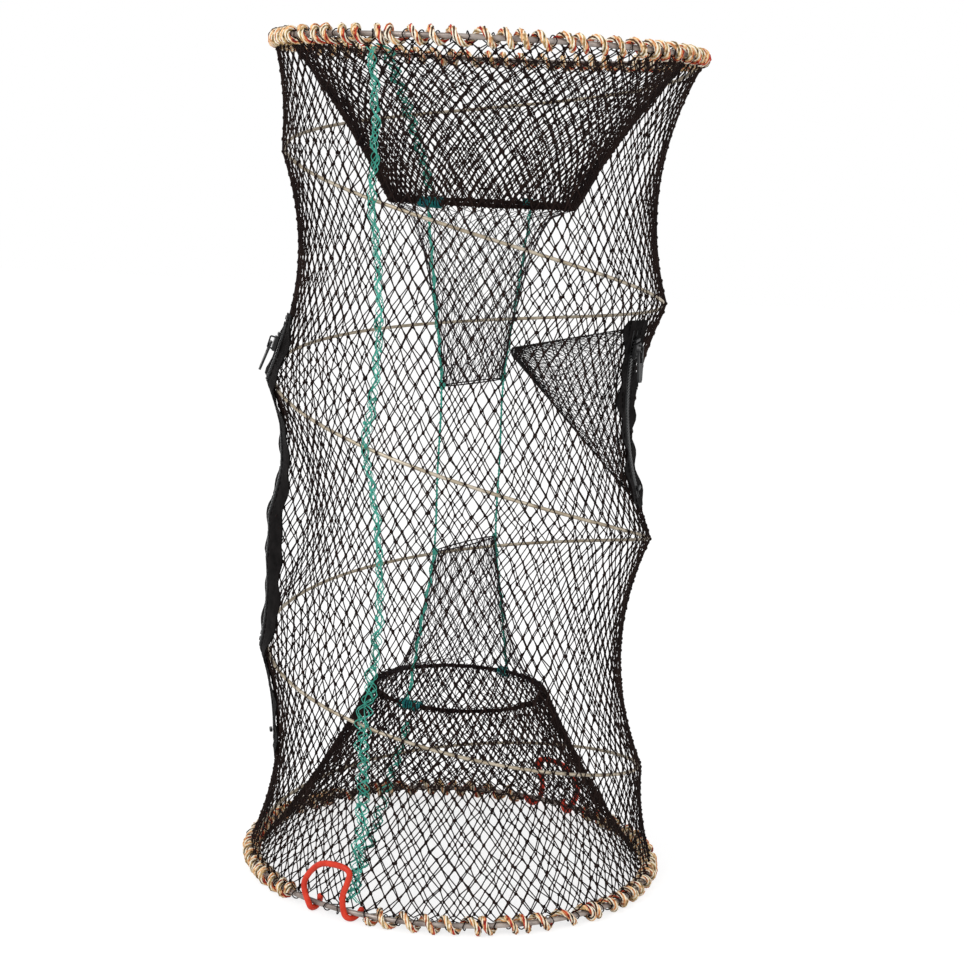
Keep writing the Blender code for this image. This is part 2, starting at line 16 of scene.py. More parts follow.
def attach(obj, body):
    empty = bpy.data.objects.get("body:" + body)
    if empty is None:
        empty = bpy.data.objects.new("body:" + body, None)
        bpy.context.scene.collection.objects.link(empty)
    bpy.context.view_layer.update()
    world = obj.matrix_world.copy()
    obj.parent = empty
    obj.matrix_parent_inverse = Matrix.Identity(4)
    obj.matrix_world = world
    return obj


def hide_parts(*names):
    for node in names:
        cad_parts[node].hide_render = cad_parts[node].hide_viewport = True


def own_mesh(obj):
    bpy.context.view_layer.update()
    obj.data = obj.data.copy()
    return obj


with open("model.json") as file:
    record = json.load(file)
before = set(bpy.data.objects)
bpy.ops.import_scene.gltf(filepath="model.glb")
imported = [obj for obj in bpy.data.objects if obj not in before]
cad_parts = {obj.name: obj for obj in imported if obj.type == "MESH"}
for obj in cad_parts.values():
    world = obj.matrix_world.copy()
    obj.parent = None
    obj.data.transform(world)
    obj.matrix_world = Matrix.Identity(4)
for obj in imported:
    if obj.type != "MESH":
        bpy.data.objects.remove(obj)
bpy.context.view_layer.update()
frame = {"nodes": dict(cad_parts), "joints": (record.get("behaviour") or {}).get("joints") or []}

# Hoops and coil, as in the model
hoop_radius = 0.1435
hoop_wire = 0.0040
wrap_cord = 0.0042
wrap_gap = 12.5
ring_reach = 0.00666
bottom_z = 0.00624
hoop_spacing = 0.569
top_z = bottom_z + hoop_spacing
coil_wire = 0.0030
coil_radius = 0.1335
coil_half_turns = (0.878, 0.704, 0.606, 0.416, 0.2756, 0.1253)
coil_turns = (len(coil_half_turns) + 1) / 2
coil_end_drop = 0.0078
coil_end_radius = hoop_radius - 0.0042
coil_fade_turns = 0.2
sway = -0.0060

# Nets, as in the model
net_thick = 0.0010
net_edge = ring_reach + 0.0003
draw_in = 0.0165
draw_span = 0.160
buckle_rows = (0.0, 0.0085, 0.0165, 0.0180, 0.0080, 0.0020, 0.0)
buckle_angles = (165.0, 180.0, 197.0, 210.0)
top_throat_radius = 0.0625
bottom_throat_radius = 0.0610
top_throat_z = 0.472
bottom_throat_z = 0.128
top_slit_z = 0.348
bottom_slit_z = 0.233
slit_width = 0.074
slit_depth = 0.008
slit_angle = 238.0
sleeve_pinch = 0.38
throat_hem = 0.0044
funnel_sag = 0.004
lacing_angle = 240.0
lacing_drift = 2.0
lacing_heights = (0.013, 0.085, 0.145, 0.205, 0.310, 0.470, 0.575)
lacing_strays = (2.0, 3.0, 4.0, 4.4, 2.8, 1.0, 0.0)
lacing_spread = ((0.14, 0.22), (1.6, 1.0))
hook_angles = {"front_hook": 238.0, "rear_hook": 58.0}

# Zips, as in the model
left_zip = ((190.0, 0.391), (190.0, 0.083))
pocket_zip = ((329.0, 0.402), (343.0, 0.272))
tape_width = 0.0120
tape_tail = 0.014
pocket_tip = (0.030, 331.0, 0.372)

# How far the soft pieces fold when the trap collapses
travel = -next(j for j in frame["joints"] if j["name"] == "collapse")["range_m"][0]
folded_share = 1 - travel / hoop_spacing
whole_fold = (bottom_z, folded_share)

# Netting: meshes round and up, and strand sizes
net_columns = 86
net_row_step = 0.0075
twine = 0.00084
knot = 0.00105
net_slack = 0.0006
funnel_columns = 86
funnel_rows = 26
funnel_clear = 0.0008
sleeve_columns = 32
sleeve_row_step = 0.0062
sleeve_twine = 0.00048
sleeve_edge = 0.0010
pocket_columns = 46
pocket_rows = 28
pocket_inset = 0.0026
pocket_edge = 0.0012
pocket_reach = 0.455
pocket_half_mouth = 0.008
pocket_half_tip = 0.003
fine_twine = 0.00037

# Wire and winding: the wires look slightly thinner than the model's
hoop_seen = hoop_wire * 0.9
coil_seen = 0.0024
wraps_per_hoop = 68
# look 4 is the near-black brown ply: painted shade that stands for the dark gaps between the yarns
wrap_plies = (0, 1, 4, 1, 2, 0, 1, 3, 1)
wrap_fray = 0.20
wrap_unevenness = 0.24
swell_limit = 0.3
swell_share = 0.4
yarn_turn = 0.021
loop_reach = (0.0026, 0.0036)
loop_lean = 0.018
bare_by_hook = (3.5, 10.0)

# Throats, cords and lacing
hem_core = throat_hem * 0.68
hem_fray = 0.30
hem_turn = 0.013
gather_reach = (0.40, 0.58)
gather_lean = (1.5, 7.5)
whipping_cord = 0.0017
whipping_reach = 0.0031
whipping_step = 1.75
inner_cord = 0.0019
cord_turn = 0.0052
cord_beside = 0.0032
cord_clear = 0.0043
cord_knot = 0.0022
loose_strand = 0.0012
loose_wave = 0.0016
loose_waves = 0.42
lacing_twine = 0.0009
lacing_knot = 0.0011
lacing_knot_step = 0.0150
lacing_out = net_thick / 2 + 0.0012
lacing_strands = (
    (0.0150, 0.0070, 0),
    (0.0150, 0.0060, 1),
    (0.0110, 0.0036, 0),
    (0.0230, 0.0084, 1),
    (0.0340, 0.0040, 0),
)
cone_twine = 0.0014
cone_lacing_in = 0.0016
cone_strands = ((17, 0.0046), (18, 0.0040), (25, 0.0026))

# Zip details
tape_thick = 0.0008
tape_seat = net_thick / 2 + 0.0008
tape_step = 0.0035
tape_start = 0.0001
tape_pinch = ((0, 0.025, 0.06), (0.34, 0.12, 0.0))
bead_side = 0.0028
stitch_side = 0.0085
stitch_step = 0.0042
stitch_size = (0.0007, 0.0028, 0.0006)
stitch_out = tape_seat + 0.0012
tooth_step = 0.0011
tooth_side = 0.0007
tooth_out = tape_seat + 0.0010
tooth_size = (0.0034, 0.0008, 0.0013)
bead = 0.0012
bead_out = tape_seat + 0.0009
stop_size = (0.0064, 0.0024, 0.0020)
stop_edge = 0.0005
stop_out = tape_seat + 0.0030

# Hooks
hook_foot = 0.0150
hook_bulge = 0.0205
hook_height = 0.0315
hook_hold = hoop_wire / 2 + 0.0022
hook_wire = 0.0041

# Floor, light and camera. A lamp is its place, size and power
floor_size = 12
floor_colour = 0.80
floor_shade = 0.34
floor_glow = 0.76
world_light = (0.75, 1.0)
lamps = {"key": ((-1.1, -1.3, 1.5), 1.0, 16), "fill": ((1.3, -1.0, 0.9), 1.2, 5)}
lamp_target = (0, 0, 0.3)
camera_place = (0.0106, -1.384, 0.5054)
camera_pitch = 9.385
camera_roll = 2.836
camera_lens = 74.2

chance = np.random.default_rng(7)


def polar(radius, angle, height, centre_x=0.0):
    turn = math.radians(angle)
    return np.array((centre_x + radius * math.cos(turn), radius * math.sin(turn), height))


def coil_height(turns):
    """The coil's height after a number of turns from its top end (Catmull-Rom through half turns)."""
    marks = [hoop_spacing - coil_end_drop]
    marks += [share * hoop_spacing for share in coil_half_turns]
    marks += [coil_end_drop]
    if turns <= 0:
        return bottom_z + marks[0]
    if turns >= coil_turns:
        return bottom_z + marks[-1]
    at = turns * 2
    i = min(int(at), len(marks) - 2)
    t = at - i
    before = marks[i - 1] if i else 2 * marks[0] - marks[1]
    after = marks[i + 2] if i + 2 < len(marks) else 2 * marks[-1] - marks[-2]
    b, c = marks[i], marks[i + 1]
    bend = 2 * before - 5 * b + 4 * c - after
    twist = 3 * b - before - 3 * c + after
    return bottom_z + 0.5 * (2 * b + (c - before) * t + bend * t**2 + twist * t**3)


def coil_reach(turns):
    from_end = min(turns, coil_turns - turns) / coil_fade_turns
    return coil_radius + (coil_end_radius - coil_radius) * max(0.0, 1.0 - from_end) ** 2


def sway_at(height):
    share = (height - bottom_z) / hoop_spacing
    return sway * math.sin(math.pi * min(max(share, 0.0), 1.0))


def net_supports(angle):
    """What holds the net out at an angle, as (height, radius) from the bottom hoop to the top one."""
    off = coil_wire / 2 + 0.0003 + net_thick / 2
    held = [(top_z - net_edge, hoop_radius), (bottom_z + net_edge, hoop_radius)]
    turns = (angle % 360) / 360
    while turns <= coil_turns + 0.000001:
        held.append((coil_height(turns), coil_reach(turns) + off))
        turns += 1
    return sorted(held)


def buckle(angle, height):
    """How far the side zip's tape carries the net outward."""
    share = (angle % 360) / 360
    high, low = coil_height(share + 1), coil_height(share + 2)
    rows = np.linspace(0, 1, len(buckle_rows))
    out = np.interp((height - low) / (high - low), rows, buckle_rows)
    return float(out * np.interp(angle % 360, buckle_angles, (0, 1, 1, 0)))


def net_radius(angle, height, held=None):
    held = held or net_supports(angle)
    height = min(max(height, held[0][0]), held[-1][0])
    for (low, low_r), (high, high_r) in zip(held, held[1:]):
        if height <= high:
            span = high - low
            t = (height - low) / span if span > 0 else 0.0
            drawn = draw_in * (span / draw_span) ** 2 * 4 * t * (1 - t)
            return low_r + (high_r - low_r) * t - drawn + buckle(angle, height)
    return held[-1][1]


def on_net(angle, height, out=0.0, held=None):
    return polar(net_radius(angle, height, held) + out, angle, height, sway_at(height))


def smooth_path(knots, count):
    """Points along a smooth curve through the knots (Catmull-Rom)."""
    knots = np.array(knots, float)
    ends = np.vstack([2 * knots[0] - knots[1], knots, 2 * knots[-1] - knots[-2]])
    at = np.linspace(0, len(knots) - 1, count + 1)
    i = np.minimum(at.astype(int), len(knots) - 2)
    t = (at - i)[:, None]
    a, b, c, d = (ends[i + k] for k in range(4))
    bend = 2 * a - 5 * b + 4 * c - d
    twist = 3 * b - a - 3 * c + d
    return 0.5 * (2 * b + (c - a) * t + bend * t**2 + twist * t**3)


# Materials


class Shader:
    """A small helper that builds one procedural material."""

    def __init__(self, name, roughness=0.6, metallic=0.0, **sockets):
        self.made = bpy.data.materials.new(name)
        self.made.use_nodes = True
        self.nodes = self.made.node_tree.nodes
        self.links = self.made.node_tree.links
        self.base = self.nodes["Principled BSDF"]
        self.base.inputs["Roughness"].default_value = roughness
        self.base.inputs["Metallic"].default_value = metallic
        for socket, value in sockets.items():
            self.base.inputs[socket.replace("_", " ")].default_value = value
        self.place = self.nodes.new("ShaderNodeTexCoord").outputs["Object"]

    def noise(self, scale, detail=3.0):
        found = self.nodes.new("ShaderNodeTexNoise")
        found.inputs["Scale"].default_value = scale
        found.inputs["Detail"].default_value = detail
        self.links.new(self.place, found.inputs["Vector"])
        return found.outputs["Fac"]

    def wave(self, scale, axis, distortion=0.0):
        found = self.nodes.new("ShaderNodeTexWave")
        found.bands_direction = axis
        found.inputs["Scale"].default_value = scale
        found.inputs["Distortion"].default_value = distortion
        self.links.new(self.place, found.inputs["Vector"])
        return found.outputs["Fac"]

    def ramp(self, source, stops):
        found = self.nodes.new("ShaderNodeValToRGB")
        while len(found.color_ramp.elements) < len(stops):
            found.color_ramp.elements.new(0.5)
        for element, (place, colour) in zip(found.color_ramp.elements, stops):
            element.position = place
            element.color = (*colour, 1.0)
        self.links.new(source, found.inputs["Fac"])
        return found.outputs["Color"]

    def mix(self, factor, first, second):
        found = self.nodes.new("ShaderNodeMix")
        found.data_type = "RGBA"
        found.blend_type = "MULTIPLY"
        found.inputs["Factor"].default_value = factor
        self.links.new(first, found.inputs[6])
        self.links.new(second, found.inputs[7])
        return found.outputs[2]

    def colour(self, source):
        self.links.new(source, self.base.inputs["Base Color"])

    def rough(self, source, low, high):
        found = self.nodes.new("ShaderNodeMapRange")
        found.inputs["To Min"].default_value = low
        found.inputs["To Max"].default_value = high
        self.links.new(source, found.inputs["Value"])
        self.links.new(found.outputs["Result"], self.base.inputs["Roughness"])

    def bump(self, source, strength, depth):
        found = self.nodes.new("ShaderNodeBump")
        found.inputs["Strength"].default_value = strength
        found.inputs["Distance"].default_value = depth
        self.links.new(source, found.inputs["Height"])
        self.links.new(found.outputs["Normal"], self.base.inputs["Normal"])


def twine_material(name, stops, patch=60.0, roughness=0.8, shine=0.3):
    """Fibrous twine: colour that varies in patches, and fine fibres as bump."""
    look = Shader(name, roughness, Specular_IOR_Level=shine)
    look.colour(look.ramp(look.noise(patch, 4.0), stops))
    fibre = look.noise(2600.0, 3.0)
    look.rough(fibre, roughness - 0.12, roughness + 0.12)
    look.bump(fibre, 0.5, 0.0002)
    return look.made


def steel_material(name, stops):
    look = Shader(name, 0.42, 0.5)
    look.colour(look.ramp(look.noise(95.0, 5.0), stops))
    scratches = look.noise(900.0, 2.0)
    look.rough(scratches, 0.30, 0.55)
    look.bump(scratches, 0.15, 0.0001)
    return look.made


def tape_material():
    look = Shader("zip_tape", 0.92, Specular_IOR_Level=0.05)
    weave = look.wave(620.0, "Z", 0.6)
    stops = [(0.3, (0.003, 0.0025, 0.0025)), (0.7, (0.013, 0.011, 0.011))]
    tone = look.ramp(look.noise(180.0), stops)
    shade = look.ramp(weave, [(0.0, (0.45, 0.45, 0.45)), (1.0, (1, 1, 1))])
    look.colour(look.mix(0.35, tone, shade))
    look.rough(weave, 0.7, 0.95)
    look.bump(weave, 0.6, 0.0002)
    return look.made


def hardware_material():
    look = Shader("zip_hardware", 0.4, 0.2, Coat_Weight=0.1, Specular_IOR_Level=0.3)
    stops = [(0.35, (0.006, 0.006, 0.0065)), (0.8, (0.026, 0.026, 0.027))]
    look.colour(look.ramp(look.noise(240.0, 4.0), stops))
    wear = look.noise(700.0, 2.0)
    look.rough(wear, 0.22, 0.5)
    look.bump(wear, 0.1, 0.0001)
    return look.made


def coating_material():
    look = Shader("red_coating", 0.5, Specular_IOR_Level=0.3)
    stops = [(0.3, (0.56, 0.026, 0.008)), (0.7, (0.78, 0.050, 0.018))]
    look.colour(look.ramp(look.noise(160.0, 4.0), stops))
    dust = look.noise(520.0, 4.0)
    look.rough(dust, 0.3, 0.55)
    look.bump(dust, 0.12, 0.0002)
    return look.made


black_stops = [(0.3, (0.006, 0.003, 0.003)), (0.75, (0.026, 0.014, 0.011))]
black = twine_material("black_netting", black_stops, 40.0, shine=0.08)
fine_stops = [(0.3, (0.008, 0.007, 0.007)), (0.75, (0.024, 0.020, 0.019))]
fine_black = twine_material("pocket_netting", fine_stops, 90.0, shine=0.1)
sleeve_stops = [(0.3, (0.010, 0.007, 0.009)), (0.75, (0.034, 0.025, 0.028))]
sleeve_black = twine_material("sleeve_netting", sleeve_stops, 60.0, shine=0.1)
green_stops = [(0.3, (0.010, 0.190, 0.135)), (0.7, (0.090, 0.470, 0.370))]
green = twine_material("green_twine", green_stops, 75.0, 0.65)
teal_stops = [(0.3, (0.000, 0.075, 0.105)), (0.7, (0.000, 0.200, 0.165))]
teal = twine_material("teal_twine", teal_stops, 140.0, 0.6)
orange_stops = [(0.37, (0.20, 0.012, 0.008)), (0.46, (0.60, 0.19, 0.05)), (0.60, (0.96, 0.60, 0.28))]
cream_stops = [(0.32, (0.20, 0.08, 0.03)), (0.40, (0.80, 0.52, 0.27)), (0.52, (1.0, 0.92, 0.74))]
red_stops = [(0.36, (0.045, 0.004, 0.004)), (0.48, (0.46, 0.020, 0.016)), (0.62, (0.66, 0.10, 0.04))]
olive_stops = [(0.36, (0.08, 0.050, 0.018)), (0.50, (0.34, 0.22, 0.08)), (0.64, (0.72, 0.50, 0.22))]
# painted shade: a near-black brown yarn that stands for the shade between the winding's yarns
painted_shade_stops = [(0.4, (0.012, 0.006, 0.004)), (0.68, (0.14, 0.055, 0.02))]
yarns = [
    twine_material("orange_yarn", orange_stops, 300.0),
    twine_material("cream_yarn", cream_stops, 260.0),
    twine_material("red_yarn", red_stops, 280.0),
    twine_material("olive_yarn", olive_stops, 360.0),
    twine_material("painted_shade_yarn", painted_shade_stops, 300.0),
]
coil_stops = [(0.25, (0.26, 0.20, 0.13)), (0.5, (0.44, 0.37, 0.27)), (0.75, (0.60, 0.53, 0.43))]
coil_steel = steel_material("coil_steel", coil_stops)
hoop_stops = [(0.3, (0.14, 0.11, 0.10)), (0.55, (0.34, 0.29, 0.26)), (0.8, (0.52, 0.46, 0.42))]
hoop_steel = steel_material("hoop_steel", hoop_stops)
tape_cloth = tape_material()
hardware = hardware_material()
coating = coating_material()


# Mesh tools. A piece is a list of (points, faces, material number) bodies


def carried_frames(points):
    """Two directions across a path at each point, carried along it without twist."""
    along = np.gradient(points, axis=0)
    along /= np.linalg.norm(along, axis=1)[:, None]
    start = np.cross(along[0], (0.0, 0.0, 1.0))
    if np.linalg.norm(start) < 0.2:
        start = np.cross(along[0], (1.0, 0.0, 0.0))
    across = np.empty_like(points)
    across[0] = start / np.linalg.norm(start)
    for i in range(1, len(points)):
        turned = across[i - 1] - along[i] * (across[i - 1] @ along[i])
        across[i] = turned / np.linalg.norm(turned)
    return across, np.cross(along, across)


def sweep(points, thickness, sides=8, frames=None, capped=True, ring=False, which=0):
    """A round tube along a path. A ring joins its last point to its first."""
    points = np.asarray(points, float)
    across, beyond = frames or carried_frames(points)
    turn = 2 * math.pi * np.arange(sides) / sides
    radius = np.broadcast_to(np.asarray(thickness, float) / 2, len(points))[:, None, None]
    rim = np.cos(turn)[None, :, None] * across[:, None] + np.sin(turn)[None, :, None] * beyond[:, None]
    verts = (points[:, None] + radius * rim).reshape(-1, 3)
    count = len(points) if ring else len(points) - 1
    i, k = np.meshgrid(np.arange(count), np.arange(sides), indexing="ij")
    after, side = (i + 1) % len(points), (k + 1) % sides
    quads = np.stack([i * sides + k, after * sides + k, after * sides + side, i * sides + side], -1)
    faces = quads.reshape(-1, 4).tolist()
    if capped and not ring:
        faces.append(list(range(sides)))
        faces.append([(len(points) - 1) * sides + s for s in reversed(range(sides))])
    return verts, faces, which


ply_share = {2: 0.56, 6: 0.42, 9: 0.33}


def laid(points, thickness, plies, turn_length, sides=6, looks=None, ring=False, frames=None, fray=0.0):
    """A laid cord: plies that wind round each other along a path, one tube each."""
    points = np.asarray(points, float)
    across, beyond = frames or carried_frames(points)
    step = np.linalg.norm(np.diff(points, axis=0), axis=1)
    run = np.concatenate([[0.0], np.cumsum(step)])
    whole = run[-1] + (np.linalg.norm(points[0] - points[-1]) if ring else 0.0)
    turns = whole / turn_length
    if ring:
        turns = max(1, round(turns))
    ply = thickness * ply_share[plies]
    off = (thickness - ply) / 2
    bodies = []
    for number in range(plies):
        angle = (2 * math.pi * (turns * run / whole + number / plies))[:, None]
        loose = 1 + fray * chance.normal(0, 1, (len(points), 1))
        route = points + off * loose * (np.cos(angle) * across + np.sin(angle) * beyond)
        which = looks[number] if looks else 0
        bodies.append(sweep(route, ply, sides, (across, beyond), ring=ring, which=which))
    return bodies


def prisms(starts, ends, thickness, sides=5):
    """Straight strands, all at once."""
    along = ends - starts
    along /= np.linalg.norm(along, axis=1)[:, None]
    across = np.cross(along, (0.31, 0.17, 0.93))
    across /= np.linalg.norm(across, axis=1)[:, None]
    beyond = np.cross(along, across)
    turn = 2 * math.pi * np.arange(sides) / sides
    rim = np.cos(turn)[None, :, None] * across[:, None] + np.sin(turn)[None, :, None] * beyond[:, None]
    rim *= thickness / 2
    verts = np.concatenate([starts[:, None] + rim, ends[:, None] + rim], 1).reshape(-1, 3)
    n, k = np.meshgrid(np.arange(len(starts)), np.arange(sides), indexing="ij")
    side, first = (k + 1) % sides, n * 2 * sides
    quads = np.stack([first + k, first + sides + k, first + sides + side, first + side], -1)
    return verts, quads.reshape(-1, 4).tolist(), 0


def ball(subdivisions=1):
    build = bmesh.new()
    bmesh.ops.create_icosphere(build, subdivisions=subdivisions, radius=1.0)
    build.verts.ensure_lookup_table()
    verts = np.array([v.co[:] for v in build.verts])
    faces = np.array([[v.index for v in f.verts] for f in build.faces])
    build.free()
    return verts, faces


ball_verts, ball_faces = ball()


def knots_at(places, size, tall=1.25):
    """A small rough knot at each place."""
    turn = chance.uniform(0, 2 * math.pi, len(places))
    size = size * chance.uniform(0.85, 1.2, len(places))
    c, s = np.cos(turn)[:, None], np.sin(turn)[:, None]
    x = ball_verts[:, 0][None] * c - ball_verts[:, 1][None] * s
    y = ball_verts[:, 0][None] * s + ball_verts[:, 1][None] * c
    z = np.broadcast_to(ball_verts[:, 2] * tall, x.shape)
    verts = places[:, None] + np.stack([x, y, z], -1) * size[:, None, None]
    first = (np.arange(len(places)) * len(ball_verts))[:, None, None]
    return verts.reshape(-1, 3), (ball_faces[None] + first).reshape(-1, 3).tolist(), 0


def piece(name, bodies, looks, sharp=None):
    """One mesh object from its bodies."""
    verts, faces, marks = [], [], []
    count = 0
    for points, polygons, which in bodies:
        verts.append(points)
        faces += [[corner + count for corner in face] for face in polygons]
        marks += [which] * len(polygons)
        count += len(points)
    mesh = bpy.data.meshes.new(name)
    mesh.from_pydata(np.concatenate(verts).tolist(), [], faces)
    for look in looks:
        mesh.materials.append(look)
    mesh.polygons.foreach_set("material_index", marks)
    mesh.shade_smooth()
    if sharp:
        mesh.set_sharp_from_angle(angle=math.radians(sharp))
    mesh.update()
    item = bpy.data.objects.new(name, mesh)
    bpy.context.scene.collection.objects.link(item)
    return item


def apply_modifiers(item):
    bpy.context.view_layer.update()
    shape = item.evaluated_get(bpy.context.evaluated_depsgraph_get())
    mesh = bpy.data.meshes.new_from_object(shape)
    item.modifiers.clear()
    item.data = mesh


def folded(height):
    """Where a height of the standing trap lies once the trap is folded."""
    return bottom_z + (height - bottom_z) * folded_share


def fold_between(low, low_to, high, high_to):
    """The anchor and share that bring two heights of a piece to where its carriers fold."""
    keep = (high_to - low_to) / (high - low)
    return (low_to - keep * low) / (1 - keep), keep


def settle(item, body, slot, *nodes, fold=None):
    """Gives a piece its body, hides the nodes that it stands for and, when a fold is given, a mesh of its
    own; the slot and the fold's anchor and share are not used.
    """
    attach(item, body)
    if nodes:
        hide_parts(*nodes)
    if fold:
        anchor, keep = fold
        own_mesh(item)


# Netting


def mesh_points(surface, columns, rows, wobble):
    """The knots of a diamond net: every second row stands half a mesh to the side."""
    grid = np.empty((rows + 1, columns, 3))
    for j in range(rows + 1):
        for i in range(columns):
            u = (i + 0.5 * (j % 2)) / columns
            v = j / rows
            if 0 < j < rows:
                u += chance.normal(0, wobble) / columns
                v += chance.normal(0, wobble) / rows
            grid[j, i] = surface(u, v)
    return grid


def net_bodies(surface, columns, rows, strand, knot_size, wobble=0.07, sides=5):
    """The strands of a closed net, and its knots."""
    grid = mesh_points(surface, columns, rows, wobble)
    starts, ends = [], []
    for j in range(rows):
        here, above = grid[j], grid[j + 1]
        other = np.roll(above, 1, axis=0) if j % 2 == 0 else np.roll(above, -1, axis=0)
        starts += [here, here]
        ends += [above, other]
    strands = prisms(np.concatenate(starts), np.concatenate(ends), strand, sides)
    return strands, knots_at(grid[1:-1].reshape(-1, 3), knot_size)


wall_low, wall_high = bottom_z + net_edge, top_z - net_edge
wall_fold = fold_between(wall_low, wall_low, wall_high, wall_high - travel)


def wall_surface(u, v):
    """The outer net from the bottom hoop (v = 0) to the top one."""
    angle = 360 * (u % 1.0)
    slack = net_slack * math.sin(7 * angle * math.pi / 180 + 9 * v) * math.sin(math.pi * v)
    return on_net(angle, wall_low + (wall_high - wall_low) * min(max(v, 0.0), 1.0), slack)


def build_wall():
    rows = 2 * round((hoop_spacing - 2 * net_edge) / net_row_step / 2)
    strands, knots = net_bodies(wall_surface, net_columns, rows, twine, knot)
    item = piece("outer_net_strands", [strands], [black])
    settle(item, "base", "black_netting", "outer_net", fold=wall_fold)
    settle(piece("outer_net_knots", [knots], [black]), "base", "black_netting", fold=wall_fold)


def funnel_surface(hoop_z, throat_z, throat_radius):
    mouth = hoop_radius - ring_reach - funnel_clear
    end = throat_radius + throat_hem / 2

    def surface(u, v):
        v = min(max(v, 0.0), 1.0)
        radius = mouth + (end - mouth) * v - funnel_sag * 4 * v * (1 - v)
        return polar(radius, 360 * u, hoop_z + (throat_z - hoop_z) * v)

    return surface


def sleeve_surface(throat_z, slit_z, throat_radius):
    way = math.copysign(1, slit_z - throat_z)
    start = throat_z + way * throat_hem / 2

    def surface(u, v):
        v = min(max(v, 0.0), 1.0)
        turn = 2 * math.pi * u
        long_half = throat_radius + (slit_width / 2 - throat_radius) * v
        short_half = throat_radius + (slit_depth / 2 - throat_radius) * v**sleeve_pinch
        x, y = long_half * math.cos(turn), short_half * math.sin(turn)
        c, s = math.cos(math.radians(slit_angle)), math.sin(math.radians(slit_angle))
        return np.array((x * c - y * s, x * s + y * c, start + (slit_z - start) * v))

    return surface


def build_funnels():
    for end, hoop_z, throat_z, slit_z, throat_radius in (
        ("top", top_z, top_throat_z, top_slit_z, top_throat_radius),
        ("bottom", bottom_z, bottom_throat_z, bottom_slit_z, bottom_throat_radius),
    ):
        cone = funnel_surface(hoop_z, throat_z, throat_radius)
        strands, knots = net_bodies(cone, funnel_columns, funnel_rows, twine, knot)
        item = piece(f"{end}_funnel_mesh", [strands, knots], [black])
        settle(item, "base", "black_netting", f"{end}_funnel_net", fold=whole_fold)
        sock = sleeve_surface(throat_z, slit_z, throat_radius)
        rows = 2 * round(abs(slit_z - throat_z) / sleeve_row_step / 2)
        strands, knots = net_bodies(sock, sleeve_columns, rows, sleeve_twine, sleeve_twine * 1.1)
        edge = sweep(np.array([sock(i / 72, 1.0) for i in range(72)]), sleeve_edge, 5, ring=True)
        item = piece(f"{end}_sleeve_mesh", [strands, knots, edge], [sleeve_black])
        below = -throat_hem / 2 if end == "top" else throat_hem / 2
        hem_fold = fold_between(slit_z, folded(slit_z), throat_z + below, folded(throat_z) + below)
        settle(item, "base", "black_netting", f"{end}_throat_sleeve", fold=hem_fold)


def zip_line(top, bottom):
    """The zip's middle line on the net, from its top (share 0) to its bottom (share 1)."""

    def place(share, side=0.0, out=0.0):
        angle = top[0] + (bottom[0] - top[0]) * share
        height = top[1] + (bottom[1] - top[1]) * share
        return on_net(angle + math.degrees(side / hoop_radius), height, out)

    return place


def pocket_surface(u, v):
    """The bait pocket from its mouth at the zip (v = 0) to its tip."""
    place = zip_line(*pocket_zip)
    v = min(max(v, 0.0), 1.0)
    turn = 2 * math.pi * u
    share = 0.5 - pocket_reach * math.cos(turn)
    mouth = place(share, 0, -pocket_inset)
    across = np.cross((0.0, 0.0, 1.0), (mouth[0], mouth[1], 0.0))
    across /= np.linalg.norm(across)
    tip = polar(*pocket_tip)
    start = mouth + across * pocket_half_mouth * math.sin(turn)
    rise = np.array((0, 0, pocket_half_tip * math.cos(turn)))
    end = tip + across * pocket_half_tip * math.sin(turn) + rise
    return start + (end - start) * v


def build_pocket():
    size = (pocket_columns, pocket_rows)
    strands, knots = net_bodies(pocket_surface, *size, fine_twine, fine_twine, 0.12, 4)
    mouth = sweep(np.array([pocket_surface(i / 80, 0.0) for i in range(80)]), pocket_edge, 5, ring=True)
    item = piece("bait_pocket_mesh", [strands, knots, mouth], [fine_black])
    settle(item, "base", "black_netting", "bait_pocket_net", fold=whole_fold)


# Hoops, their winding and the net's loops on them


def circle(radius, height, count):
    return np.array([polar(radius, 360 * i / count, height) for i in range(count)])


def ring_frames(points):
    """Outward and upward directions along a level ring."""
    out = points * np.array((1.0, 1.0, 0.0))
    out /= np.linalg.norm(out, axis=1)[:, None]
    return out, np.broadcast_to(np.array((0.0, 0.0, 1.0)), points.shape).copy()


def wound(start, sweep_angle, loops, height, ring, reach, points_each, unevenness=0.0):
    """Points of a winding round a level ring."""
    count = loops * points_each
    share = np.linspace(0, 1, count + 1)
    turn = 2 * math.pi * loops * share
    marks = np.arange(loops + 1)
    lean = np.interp(share * loops, marks, chance.normal(0, unevenness, loops + 1))
    swell = np.interp(share * loops, marks, np.abs(chance.normal(0, unevenness, loops + 1)))
    reach = reach * (1 + np.minimum(swell, swell_limit) * swell_share)
    angle = np.radians(start + sweep_angle * share + lean * 360 / wraps_per_hoop)
    radius = ring + reach * np.cos(turn)
    return np.stack([radius * np.cos(angle), radius * np.sin(angle), height - reach * np.sin(turn)], -1)


def wrap_bodies(start, sweep_angle, height, floor):
    loops = round(wraps_per_hoop * sweep_angle / 360)
    reach = hoop_wire / 2 + 0.0001 + wrap_cord / 2
    route = wound(start, sweep_angle, loops, height, hoop_radius, reach, 16, wrap_unevenness)
    bodies = laid(route, wrap_cord, len(wrap_plies), yarn_turn, 5, looks=wrap_plies, fray=wrap_fray)
    if floor:
        for verts, faces, which in bodies:
            verts[:, 2] = np.maximum(verts[:, 2], 0.0)
    return bodies


